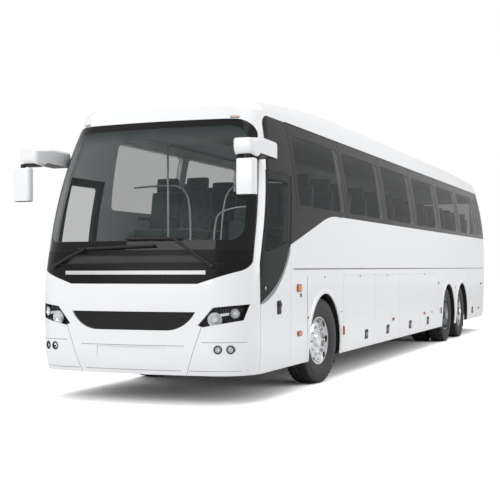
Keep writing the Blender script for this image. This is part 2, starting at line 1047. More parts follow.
class Skin:
    """Finds points on the coach's outer panels."""

    FAR = 6.0
    FLAT_Y = -5.6

    def __init__(self, nodes: dict[str, Piece], names: Iterable[str]) -> None:
        """Builds a search tree over some nodes.

        Args:
            nodes: The frame's nodes.
            names: Names of the nodes that make up the skin.
        """
        points: list[Vector] = []
        faces: list[list[int]] = []
        for name in names:
            mesh = nodes[name].data
            start = len(points)
            points += [vertex.co.copy() for vertex in mesh.vertices]
            faces += [[start + index for index in polygon.vertices] for polygon in mesh.polygons]
        self.tree = BVHTree.FromPolygons(points, faces)

    def at(self, direction: Direction, first: float, second: float) -> tuple[Vector, Vector]:
        """Outermost point seen from a direction.

        Args:
            direction: Where it is looked at from.
            first: y from a side, otherwise x.
            second: y from the top, otherwise z.

        Returns:
            The point and the outward normal.
        """
        outward = direction.value
        if direction in (Direction.LEFT, Direction.RIGHT):
            origin = Vector((outward.x * self.FAR, first, second))
        elif direction == Direction.TOP:
            origin = Vector((first, second, self.FAR))
        else:
            origin = Vector((first, outward.y * 2 * self.FAR, second))
        place, normal, _, _ = self.tree.ray_cast(origin, -outward)
        if place is None:
            raise ValueError(f"nothing to sit on at {first}, {second}")
        return place, normal if normal.dot(outward) > 0 else -normal

    def frame(self, direction: Direction, first: float, second: float, lift: float = 0.0) -> Matrix:
        """Matrix that takes a piece drawn on x = 0, facing +X, to a place on the skin.

        Args:
            direction: Where it is looked at from.
            first: y from a side, otherwise x.
            second: y from the top, otherwise z.
            lift: How far out it is moved.

        Returns:
            The matrix.
        """
        return frame_on(*self.at(direction, first, second), lift)

    def half_width(self, z: float) -> float:
        """Distance of the flat side from the middle at a height."""
        return self.at(Direction.LEFT, self.FLAT_Y, z)[0].x


def frame_on(place: Vector, normal: Vector, lift: float = 0.0) -> Matrix:
    """Matrix that takes a piece drawn on x = 0, facing +X, to a place on the skin.

    Args:
        place: The point on the skin.
        normal: The outward normal there.
        lift: How far out it is moved.

    Returns:
        The matrix.
    """
    out = normal.normalized()
    up = Vector((0.0, 0.0, 1.0))
    if abs(out.z) > 0.9:
        up = Vector((0.0, 1.0, 0.0))
    across = up.cross(out).normalized()
    over = out.cross(across)
    turn = Matrix((out, across, over)).transposed().to_4x4()
    return Matrix.Translation(place + out * lift) @ turn


def rounded_box(half_y: float, half_z: float, radius: float, steps: int = 4) -> list[Point2]:
    """Corners of a rectangle with round corners, about the origin.

    Args:
        half_y: Half its length.
        half_z: Half its height.
        radius: The corners' radius.
        steps: Divisions of each corner.

    Returns:
        The corners in order.
    """
    outline: list[Point2] = []
    for quarter, (sign_y, sign_z) in enumerate(((1, 1), (-1, 1), (-1, -1), (1, -1))):
        for step in range(steps + 1):
            angle = math.pi / 2 * (quarter + step / steps)
            outline.append((sign_y * (half_y - radius) + radius * math.cos(angle),
                            sign_z * (half_z - radius) + radius * math.sin(angle)))
    return outline


def ribbon(bench: Bench, name: str, rows: Sequence[Sequence[Vector]]) -> Piece:
    """Smooth sheet through rows of points.

    Args:
        bench: The modelling moves.
        name: The piece's name.
        rows: Points, each row as long as the others.

    Returns:
        The new piece.
    """
    width = len(rows[0])
    bpy.ops.mesh.primitive_grid_add(x_subdivisions=width - 1, y_subdivisions=len(rows) - 1, size=1.0)
    piece = bpy.context.object
    piece.name = name
    flat = [point for row in rows for point in row]
    for vertex, point in zip(piece.data.vertices, flat):
        vertex.co = point
    bench.edit(piece)
    bpy.ops.mesh.normals_make_consistent(inside=False)
    bpy.ops.object.mode_set(mode="OBJECT")
    return bench.smooth(piece, 60.0)


# Sub-assemblies


@dataclass
class Coachwork:
    """Painted panels, black panels and glass, as smooth copies of the solids."""

    bench: Bench
    palette: Palette
    arch_centres: tuple[float, ...] = AXLES_Y
    arch_z: float = ARCH_Z
    arch_reach: float = 0.645
    arch_top: float = 1.2

    def in_arch(self, face: Face) -> bool:
        """Tells whether a face is the cut edge of a panel round a wheel arch.

        Args:
            face: A face of a panel.

        Returns:
            Whether it is.
        """
        if abs(face.normal.x) > 0.5 or face.center.z > self.arch_top:
            return False
        rise = max(0.0, face.center.z - self.arch_z)
        return any(math.hypot(face.center.y - y, rise) < self.arch_reach for y in self.arch_centres)

    def build(self) -> None:
        """Makes every panel."""
        white = ["roof_panel", "front_mask", "left_side_wall", "right_side_wall", "skirt_panels",
                 "front_bumper", "rear_wall", "engine_lid", "rear_bumper"]
        white += [name for name in self.bench.nodes if name.startswith(("luggage_hatch", "rear_flap"))]
        for node in white:
            piece = self.bench.copy_of(node, f"{node}_skin")
            if any(self.in_arch(face) for face in piece.data.polygons):
                edge = self.bench.split_off(piece, f"{node}_arch_edges", self.in_arch)
                self.bench.finish(edge, self.bench.body_of[node], self.palette.trim, "black_trim")
            self.bench.finish(piece, self.bench.body_of[node], self.palette.white, "body_paint")
        rows = [
            ("driver_door", self.palette.door_paint, "body_paint"),
            ("passenger_doors", self.palette.door_paint, "body_paint"),
            ("quarter_panels", self.palette.black, "black_panel"),
            ("cowl_panel", self.palette.satin, "black_panel"),
            ("side_glazing", self.palette.band, "tinted_glass"),
            ("windscreen", self.palette.screen, "clear_glass"),
            ("rear_window", self.palette.rear, "tinted_glass"),
            ("driver_door_glass", self.palette.door, "tinted_glass"),
            ("passenger_door_glass", self.palette.door, "tinted_glass"),
            ("trim_strip", self.palette.strip, "bright_trim"),
            ("front_grille", self.palette.trim, "black_trim"),
            ("roof_equipment", self.palette.white, "body_paint"),
        ]
        for node, material, slot in rows:
            piece = self.bench.copy_of(node, f"{node}_skin")
            self.bench.finish(piece, self.bench.body_of[node], material, slot)


@dataclass
class Underbody:
    """Finishes of the CAD nodes that show from below or inside."""

    bench: Bench
    palette: Palette

    def build(self) -> None:
        """Dresses the nodes in place."""
        rows = {
            "floor_deck": self.palette.carpet, "luggage_tray": self.palette.frame,
            "chassis_frame": self.palette.frame, "arch_liners": self.palette.trim,
            "powertrain": self.palette.cast, "front_axle": self.palette.frame,
            "drive_axle": self.palette.frame, "tag_axle": self.palette.frame,
            "knuckle_left": self.palette.cast, "knuckle_right": self.palette.cast,
            "luggage_racks": self.palette.lining, "dashboard": self.palette.satin,
            "steering_wheel": self.palette.trim,
        }
        for side in Side:
            for axle in ("front", "drive", "tag"):
                rows[f"{axle}_tyre_{side.label}"] = self.palette.tyre
                rows[f"{axle}_rim_{side.label}"] = self.palette.alloy
        for node, material in rows.items():
            mesh = self.bench.nodes[node].data
            mesh.materials.clear()
            mesh.materials.append(material)


@dataclass
class FrontLamps:
    """Headlamps and fog lamps: clear covers over black housings with plated reflectors."""

    bench: Bench
    palette: Palette
    skin: Skin
    low_beam: Point2 = (0.925, 0.888)
    high_beam: Point2 = (1.115, 0.95)
    low_r: float = 0.074
    high_r: float = 0.05
    marker: Point2 = (1.022, 0.93)
    fogs: tuple[Point2, ...] = ((0.955, 0.585), (1.073, 0.585))
    fog_r: float = 0.04
    beam_sunk: float = 0.016
    fog_sunk: float = 0.012
    projector_share: float = 0.42
    fog_bowl_share: float = 0.8

    def build(self) -> None:
        """Makes the lamps of both sides."""
        housing = self.bench.copy_of("front_lamps", "lamp_housings")
        cover = self.bench.split_off(housing, "lamp_covers", self.faces_out)
        self.bench.modified(cover, "SOLIDIFY", thickness=0.003, offset=-1.0)
        self.bench.finish(cover, "coach", self.palette.cover, "lamp_lens")
        self.bench.finish(housing, "coach", self.palette.trim, "black_trim")
        plated, glass, rings = [], [], []
        for side in Side:
            for (x, z), radius in ((self.low_beam, self.low_r), (self.high_beam, self.high_r)):
                spot = self.skin.at(Direction.FRONT, side.value * x, z)
                plated.append(self.reflector(spot, radius, self.beam_sunk))
                glass.append(self.projector(spot, radius * self.projector_share))
            x, z = self.marker
            plated.append(self.winglet(self.skin.at(Direction.FRONT, side.value * x, z)))
            for x, z in self.fogs:
                spot = self.skin.at(Direction.FRONT, side.value * x, z)
                rings.append(self.bezel(spot))
                plated.append(self.reflector(spot, self.fog_r * self.fog_bowl_share, self.fog_sunk))
        self.bench.group("lamp_reflectors", plated, self.palette.chrome, "bright_trim")
        self.bench.group("lamp_projectors", glass, self.palette.clear, "lamp_lens")
        self.bench.group("fog_lamp_bezels", rings, self.palette.trim, "black_trim")

    @staticmethod
    def faces_out(face: Face) -> bool:
        """Tells whether a face is part of a lamp's cover."""
        outward = Vector((face.center.x * 0.35, -1.0, 0.0)).normalized()
        return face.normal.dot(outward) > 0.6

    def reflector(self, spot: tuple[Vector, Vector], r: float, sunk: float) -> Piece:
        """Plated bowl with a rim, its mouth just behind the cover.

        Args:
            spot: Point on the skin and the normal there.
            r: The mouth's radius.
            sunk: How far it is behind the skin.

        Returns:
            The bowl.
        """
        profile = [(-0.03, 0.0), (-0.029, r * 0.4), (-0.02, r * 0.75), (0.0, r * 0.95), (0.003, r),
                   (-0.004, r * 1.04), (-0.034, r * 0.5), (-0.036, 0.0)]
        return self.bench.turned(self.bench.spun("reflector", profile, 40), frame_on(*spot, -sunk))

    def projector(self, spot: tuple[Vector, Vector], r: float) -> Piece:
        """Domed projector lens in the middle of a bowl.

        Args:
            spot: Point on the skin and the normal there.
            r: The lens's radius.

        Returns:
            The lens.
        """
        profile = [(0.012, 0.0), (0.01, r * 0.5), (0.003, r * 0.85), (-0.008, r), (-0.025, r)]
        return self.bench.turned(self.bench.spun("projector", profile, 28), frame_on(*spot, -0.022))

    def winglet(self, spot: tuple[Vector, Vector]) -> Piece:
        """Narrow plated blade between the two beams.

        Args:
            spot: Point on the skin and the normal there.

        Returns:
            The blade.
        """
        outline = [(-0.05, -0.012), (0.05, 0.004), (0.045, 0.03), (-0.04, 0.02)]
        return self.bench.turned(self.bench.plate("winglet", outline, 0.012, 0.003), frame_on(*spot, -0.03))

    def bezel(self, spot: tuple[Vector, Vector]) -> Piece:
        """Round black surround of a fog lamp.

        Args:
            spot: Point on the skin and the normal there.

        Returns:
            The surround.
        """
        r = self.fog_r
        profile = [(-0.01, r * 0.84), (0.004, r * 0.86), (0.007, r * 0.95), (0.006, r * 1.06),
                   (0.0, r * 1.12), (-0.01, r * 1.1), (-0.01, r * 0.84)]
        return self.bench.turned(self.bench.spun("bezel", profile, 36), frame_on(*spot))


@dataclass
class FrontTrim:
    """Wipers, cowl lines, grille mesh and marker lamps of the front."""

    bench: Bench
    palette: Palette
    skin: Skin
    pivots: tuple[Point2, Point2] = ((0.885, 1.432), (-0.985, 1.428))
    knees: tuple[Point2, Point2] = ((0.45, 1.715), (-0.575, 1.615))
    blades: tuple[Point2, Point2] = ((0.54, -0.09), (-0.68, 0.25))
    blade_rise: tuple[float, float] = (0.0, 0.03)
    line_heights: tuple[float, ...] = (1.6, 1.457)
    line_half: float = 1.12
    apron: tuple[Point2, Point2] = ((0.83, 1.462), (0.7, 1.556))
    bumper_lines: tuple[tuple[float, float, float], ...] = (
        # height, inner end and outer end on one side
        (0.618, 0.0, 0.6), (0.362, 0.0, 0.56), (0.362, 0.64, 1.2), (0.657, 0.79, 1.2),
    )
    roof_marker: Point2 = (0.9, 3.032)
    nose: Point2 = (-7.45, 6.0)
    # lifts of a wiper's arm at its pivot, middle and knee, and of its spine and rubber
    arm_lifts: Point3 = (0.03, 0.045, 0.04)
    spine_lift: float = 0.03
    rubber_lift: float = 0.012
    rubber_drop: float = 0.004
    arm_r: float = 0.015
    spine_r: float = 0.013
    rubber_r: float = 0.01
    blade_steps: int = 8
    line_steps: int = 24
    line_lift: float = 0.001
    line_r: float = 0.003
    apron_columns: int = 24
    apron_levels: int = 4
    apron_thick: float = 0.006
    crease_steps: int = 12
    crease_lift: float = -0.0015
    crease_r: float = 0.0035
    marker_base: Point3 = (0.05, 0.013, 0.0125)
    marker_lens: Point3 = (0.044, 0.009, 0.0085)
    mesh_bars: int = 58
    mesh_half: float = 0.0025
    mesh_depth: float = 0.008
    mesh_back: float = 0.03
    mesh_least: float = 0.02
    chin_start: float = 0.52
    chin_slope: float = 1.75

    def build(self) -> None:
        """Makes the trim."""
        self.wipers()
        self.cowl_lines()
        self.cowl_apron()
        self.bumper_creases()
        self.markers()
        self.grille()

    def front_point(self, x: float, z: float, lift: float) -> Point3:
        """Point over the front skin."""
        place, normal = self.skin.at(Direction.FRONT, x, z)
        return tuple(place + normal * lift)

    def wipers(self) -> None:
        """Two arms with their blades, parked on the glass."""
        parts = []
        for index, (pivot, knee) in enumerate(zip(self.pivots, self.knees)):
            start, end = self.blades[index]
            middle = ((pivot[0] + knee[0]) / 2, (pivot[1] + knee[1]) / 2)
            route = [self.front_point(*place, lift)
                     for place, lift in zip((pivot, middle, knee), self.arm_lifts)]
            parts.append(self.bench.tube("arm", route, self.arm_r))
            shares = [step / self.blade_steps for step in range(self.blade_steps + 1)]
            blade = [(start + (end - start) * share, knee[1] + self.blade_rise[index] * share)
                     for share in shares]
            spine = [self.front_point(x, z, self.spine_lift) for x, z in blade]
            rubber = [self.front_point(x, z - self.rubber_drop, self.rubber_lift) for x, z in blade]
            parts.append(self.bench.tube("spine", spine, self.spine_r, True))
            parts.append(self.bench.tube("rubber", rubber, self.rubber_r, True))
            profile = [(-0.01, 0.0), (-0.01, 0.024), (0.03, 0.022), (0.042, 0.014), (0.044, 0.0)]
            cap = self.bench.spun("pivot", profile, 24)
            parts.append(self.bench.turned(cap, self.skin.frame(Direction.FRONT, *pivot)))
        whole = self.bench.joined("wiper_set", parts)
        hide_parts("wipers")
        self.bench.finish(whole, "coach", self.palette.trim, "black_trim")

    def cowl_lines(self) -> None:
        """Fine seams across the black panel under the windscreen."""
        parts = []
        count = self.line_steps
        places = [-self.line_half + 2 * self.line_half * step / count for step in range(count + 1)]
        for height in self.line_heights:
            route = [self.front_point(x, height, self.line_lift) for x in places]
            parts.append(self.bench.tube("line", route, self.line_r, True))
        self.bench.group("cowl_lines", parts, self.palette.trim, "black_trim")

    def cowl_apron(self) -> None:
        """Paler sloped panel between the bright strip and the glass."""
        (low_half, low), (high_half, high) = self.apron
        rows = []
        for step in range(self.apron_columns + 1):
            share = 2 * step / self.apron_columns - 1
            row = []
            for level in range(self.apron_levels + 1):
                rise = level / self.apron_levels
                x = share * (low_half + (high_half - low_half) * rise)
                lift = 0.003 + 0.006 * math.sin(math.pi * rise)
                row.append(Vector(self.front_point(x, low + (high - low) * rise, lift)))
            rows.append(row)
        apron = ribbon(self.bench, "cowl_apron", rows)
        self.bench.modified(apron, "SOLIDIFY", thickness=self.apron_thick, offset=-1.0)
        self.bench.finish(apron, "coach", self.palette.panel, "black_panel")

    def bumper_creases(self) -> None:
        """Shadow lines pressed into the bumper over the plate, the fog lamps and the lower lip."""
        parts = []
        for height, inner, outer in self.bumper_lines:
            for side in Side:
                places = [side.value * (inner + (outer - inner) * step / self.crease_steps)
                          for step in range(self.crease_steps + 1)]
                route = [self.front_point(x, height, self.crease_lift) for x in places]
                parts.append(self.bench.tube("crease", route, self.crease_r, True))
        self.bench.group("bumper_creases", parts, self.palette.grey, "grey_plastic")

    def markers(self) -> None:
        """Small lamps above the windscreen."""
        lenses, bases = [], []
        for side in Side:
            x, z = self.roof_marker
            turn = self.skin.frame(Direction.FRONT, side.value * x, z)
            base = self.bench.plate("base", rounded_box(*self.marker_base), 0.008, 0.002)
            bases.append(self.bench.turned(base, turn))
            lens = self.bench.plate("lens", rounded_box(*self.marker_lens), 0.012, 0.003)
            lenses.append(self.bench.turned(lens, turn))
        self.bench.group("roof_marker_bases", bases, self.palette.grey, "grey_plastic")
        self.bench.group("roof_marker_lenses", lenses, self.palette.pale, "tail_lens")

    def grille(self) -> None:
        """Fine upright bars that make a mesh with the grille's slats."""
        low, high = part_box("front_grille")
        parts = []
        nose_y, nose_r = self.nose
        for index in range(1, self.mesh_bars):
            x = low.x + (high.x - low.x) * index / self.mesh_bars
            share = abs(x) / high.x
            foot = low.z + (high.z - low.z) * max(0.0, share - self.chin_start) * self.chin_slope
            if high.z - foot < self.mesh_least:
                continue
            y = nose_y + nose_r - math.sqrt(nose_r ** 2 - x * x) + self.mesh_back
            corners = (x - self.mesh_half, y, foot), (x + self.mesh_half, y + self.mesh_depth, high.z)
            parts.append(self.bench.block("bar", *corners, 0.001, 1))
        self.bench.group("grille_mesh", parts, self.palette.trim, "black_trim")


@dataclass
class SideFittings:
    """Handles, locks, marker lamps, arch lips and seams along both sides."""

    bench: Bench
    palette: Palette
    skin: Skin
    hatch_locks: tuple[tuple[str, float, float], ...] = (
        # body, y and z
        ("luggage_hatch_{}_1", -2.88, 0.487), ("luggage_hatch_{}_2", -1.67, 0.49),
        ("luggage_hatch_{}_3", -0.19, 0.487), ("luggage_hatch_{}_4", 1.17, 0.487),
        ("rear_flap_{}", 5.69, 0.5),
    )
    dots: tuple[tuple[float, float, float], ...] = (
        # y, z and radius of caps and hinge ends
        (-4.8, 1.3, 0.011), (-3.2, 1.3, 0.013), (-1.7, 1.3, 0.011), (0.9, 1.3, 0.011),
        (2.128, 1.13, 0.03), (3.745, 1.02, 0.018), (-5.702, 1.1, 0.024), (-5.44, 0.83, 0.014),
        (-4.08, 0.85, 0.012), (1.51, 0.623, 0.022),
    )
    slim_markers: tuple[Point2, ...] = ((-4.0, 0.6), (2.3, 0.62))
    crease: tuple[float, float, float] = (-5.93, 7.095, 1.4)
    gutter: tuple[float, float, float] = (-5.8, 7.08, 3.088)
    indicator: Point2 = (-5.765, 1.183)
    lower_marker: Point2 = (-5.758, 0.663)
    small_markers: tuple[Point2, ...] = ((-1.339, 0.625), (0.874, 0.626), (6.81, 1.054), (6.488, 0.519))
    arch_centres: tuple[float, ...] = AXLES_Y
    arch_z: float = ARCH_Z
    arch_r: float = 0.63
    lip: float = 0.075
    sill_z: float = 0.316
    handle: Point2 = (-6.435, 0.985)
    door_lock: Point2 = (-6.853, 1.2)
    lip_steps: int = 36
    gutter_steps: int = 32
    gutter_r: float = 0.0055
    crease_r: float = 0.0045
    crease_sunk: float = 0.003
    hair: float = 0.0005
    joint_r: float = 0.0025
    joint_y: float = -5.467
    joint_z: tuple[float, ...] = (0.33, 0.6, 0.9, 1.2, 1.312)

    def build(self) -> None:
        """Makes the fittings of both sides."""
        for side in Side:
            self.locks(side)
            self.lamps(side)
            self.lips(side)
            self.caps(side)
        self.door_handle()
        self.seams()
        self.long_lines()

    def on_side(self, side: Side, y: float, z: float) -> Matrix:
        """Matrix to a place on one side's skin."""
        return self.skin.frame(side.direction, y, z)

    def locks(self, side: Side) -> None:
        """Black dished plate with a bright paddle, low on each hatch.

        Args:
            side: The side they are on.
        """
        for pattern, y, z in self.hatch_locks:
            body = pattern.format(side.label)
            if body not in self.bench.nodes:
                continue
            turn = self.on_side(side, y, z)
            plate = self.bench.plate("dish", rounded_box(0.075, 0.066, 0.014), 0.005, 0.0015)
            self.bench.turned(self.bench.dished(plate, 0.005, 0.009, 0.003), turn)
            plate.name = f"{body}_lock_plate"
            self.bench.finish(plate, body, self.palette.trim, "black_trim")
            paddle = self.bench.plate("paddle", rounded_box(0.03, 0.026, 0.008), 0.009, 0.003)
            profile = [(0.0, 0.0), (0.0, 0.011), (0.008, 0.011), (0.01, 0.008), (0.01, 0.0)]
            barrel = self.bench.spun("barrel", profile, 20)
            self.bench.turned(barrel, Matrix.Translation((0.0, 0.0, -0.04)))
            lock = self.bench.joined(f"{body}_lock", [paddle, barrel])
            self.bench.turned(lock, turn)
            self.bench.finish(lock, body, self.palette.steel, "steel")

    def lamps(self, side: Side) -> None:
        """Amber indicator and marker lamps, each riding on the panel under it.

        Args:
            side: The side they are on.
        """
        rows = [(self.indicator, 0.075, 0.042), (self.lower_marker, 0.072, 0.028)]
        rows += [(place, 0.045, 0.022) for place in self.small_markers]
        rows += [(place, 0.014, 0.06) for place in self.slim_markers]
        movers: dict[str, tuple[list[Piece], list[Piece]]] = {}
        for (y, z), half_y, half_z in rows:
            turn = self.on_side(side, y, z)
            base = self.bench.plate("base", rounded_box(half_y, half_z, 0.01), 0.007, 0.002)
            lens = self.bench.plate("lens", rounded_box(half_y - 0.008, half_z - 0.007, 0.007), 0.018, 0.005)
            self.bench.turned(base, turn)
            self.bench.turned(lens, turn)
            bases, lenses = movers.setdefault(self.body_under(side, y, z), ([], []))
            bases.append(base)
            lenses.append(lens)
        for body, (bases, lenses) in movers.items():
            end = f"{side.label}_{body}"
            self.bench.group(f"marker_bases_{end}", bases, self.palette.trim, "black_trim", body)
            self.bench.group(f"marker_lenses_{end}", lenses, self.palette.amber, "tail_lens", body)

    def body_under(self, side: Side, y: float, z: float) -> str:
        """Name of the body whose panel lies at a place.

        Args:
            side: The side it is on.
            y: Along the coach.
            z: Height.

        Returns:
            The body of a door, hatch or flap there, or else the coach.
        """
        for node, body in self.bench.body_of.items():
            if body == "coach" or not node.startswith(("luggage_hatch", "rear_flap", "driver_door")):
                continue
            low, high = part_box(node)
            if low.y < y < high.y and low.z < z < high.z and (low.x + high.x) * side.value > 0:
                return body
        return "coach"

    def lips(self, side: Side) -> None:
        """Raised white lip round each wheel arch.

        Args:
            side: The side they are on.
        """
        parts = []
        section = ((-0.002, 0.0), (0.012, 0.004), (0.016, 0.02), (0.012, self.lip - 0.02), (0.0, self.lip))
        for centre in self.arch_centres:
            rows = []
            turns = [math.pi * step / self.lip_steps for step in range(self.lip_steps + 1)]
            legs = [self.sill_z, (self.sill_z + self.arch_z) / 2]
            route = [(self.arch_r, z, 0.0) for z in legs]
            route += [(self.arch_r, self.arch_z, turn) for turn in turns]
            route += [(self.arch_r, z, math.pi) for z in reversed(legs)]
            for radius, base_z, turn in route:
                ring = []
                for out, grow in section:
                    y = centre + (radius + grow) * math.cos(turn)
                    z = base_z + (radius + grow) * math.sin(turn)
                    x = self.skin.half_width(max(z, self.sill_z + 0.003)) + out
                    ring.append(Vector((side.value * x, y, z)))
                rows.append(ring)
            parts.append(ribbon(self.bench, "lip", rows))
        self.bench.group(f"arch_lips_{side.label}", parts, self.palette.white, "body_paint")

    def caps(self, side: Side) -> None:
        """Small dark caps and hinge ends on the lower panels.

        Args:
            side: The side they are on.
        """
        movers: dict[str, list[Piece]] = {}
        for y, z, radius in self.dots:
            profile = [(-0.002, 0.0), (-0.002, radius), (0.003, radius), (0.005, radius * 0.7), (0.005, 0.0)]
            cap = self.bench.turned(self.bench.spun("cap", profile, 16), self.on_side(side, y, z))
            movers.setdefault(self.body_under(side, y, z), []).append(cap)
        for body, parts in movers.items():
            name = f"side_caps_{side.label}_{body}"
            self.bench.group(name, parts, self.palette.trim, "black_trim", body)

    def long_lines(self) -> None:
        """Dark joint along the crease and dark gutter over the windows."""
        parts = []
        count = self.gutter_steps
        for side in Side:
            start, end, height = self.crease
            x = side.value * (self.skin.half_width(1.5) - self.crease_sunk)
            parts.append(self.bench.tube("crease", [(x, start, height), (x, end, height)], self.crease_r))
            start, end, height = self.gutter
            route = []
            for step in range(count + 1):
                place, normal = self.skin.at(side.direction, start + (end - start) * step / count, height)
                route.append(tuple(place + normal * self.hair))
            parts.append(self.bench.tube("gutter", route, self.gutter_r, True))
        self.bench.group("long_lines", parts, self.palette.trim, "black_trim")

    def door_handle(self) -> None:
        """Black handle on its plate, and lock barrel, of the driver's door."""
        dish = self.bench.plate("dish", rounded_box(0.062, 0.075, 0.02), 0.006, 0.002)
        grip = self.bench.plate("grip", rounded_box(0.05, 0.022, 0.012), 0.02, 0.006)
        self.bench.turned(grip, Matrix.Translation((0.0, 0.0, 0.028)))
        handle = self.bench.joined("driver_door_handle", [dish, grip])
        self.bench.turned(handle, self.on_side(Side.LEFT, *self.handle))
        self.bench.finish(handle, "driver_door", self.palette.trim, "black_trim")
        profile = [(0.0, 0.0), (0.0, 0.02), (0.006, 0.02), (0.009, 0.015), (0.009, 0.0)]
        barrel = self.bench.spun("driver_door_lock", profile, 24)
        self.bench.turned(barrel, self.on_side(Side.LEFT, *self.door_lock))
        self.bench.finish(barrel, "driver_door", self.palette.steel, "steel")

    def seams(self) -> None:
        """Dark joint of the panel ahead of each front wheel."""
        parts = []
        for side in Side:
            route = [(side.value * (self.skin.half_width(z) + self.hair), self.joint_y, z)
                     for z in self.joint_z]
            parts.append(self.bench.tube("joint", route, self.joint_r))
        self.bench.group("skirt_joints", parts, self.palette.grey, "grey_plastic")


@dataclass
class Mirrors:
    """Rear-view mirrors: white hoods with black undersides and plated glass."""

    bench: Bench
    palette: Palette
    glass_y: float = -7.395
    head_x: Point2 = (1.235, 1.385)
    head_z: Point2 = (2.17, 2.475)
    neck_x: float = 1.3085
    neck_y: float = -7.4475
    neck_r: float = 0.034
    neck_z: Point2 = (2.506, 2.556)

    def build(self) -> None:
        """Makes the mirrors of both sides."""
        hoods = self.bench.copy_of("mirrors", "mirror_hoods", 35.0)
        under = self.bench.split_off(hoods, "mirror_undersides", self.is_black)
        self.bench.finish(under, "coach", self.palette.trim, "black_trim")
        self.bench.finish(hoods, "coach", self.palette.white, "body_paint")
        glasses, rims = [], []
        (inner, outer), (low, high) = self.head_x, self.head_z
        for side in Side:
            middle = Vector((side.value * (inner + outer) / 2, self.glass_y, (low + high) / 2))
            for pieces, grow, thick in ((glasses, -0.008, 0.009), (rims, 0.006, 0.006)):
                outline = rounded_box((outer - inner) / 2 + grow, (high - low) / 2 + grow, 0.03)
                plate = self.bench.plate("pane", outline, thick, 0.001)
                pieces.append(self.bench.turned(plate, frame_on(middle, Vector((0.0, 1.0, 0.0)))))
        self.bench.group("mirror_rims", rims, self.palette.trim, "black_trim")
        self.bench.group("mirror_panes", glasses, self.palette.mirror, "bright_trim")

    def is_black(self, face: Face) -> bool:
        """Tells whether a face is part of an underside or of the joint over the head.

        Args:
            face: A face of the mirrors.

        Returns:
            Whether it is black.
        """
        off_axis = math.hypot(abs(face.center.x) - self.neck_x, face.center.y - self.neck_y)
        in_neck = off_axis < self.neck_r and self.neck_z[0] < face.center.z < self.neck_z[1]
        return face.normal.z < -0.75 or in_neck and abs(face.normal.z) < 0.5


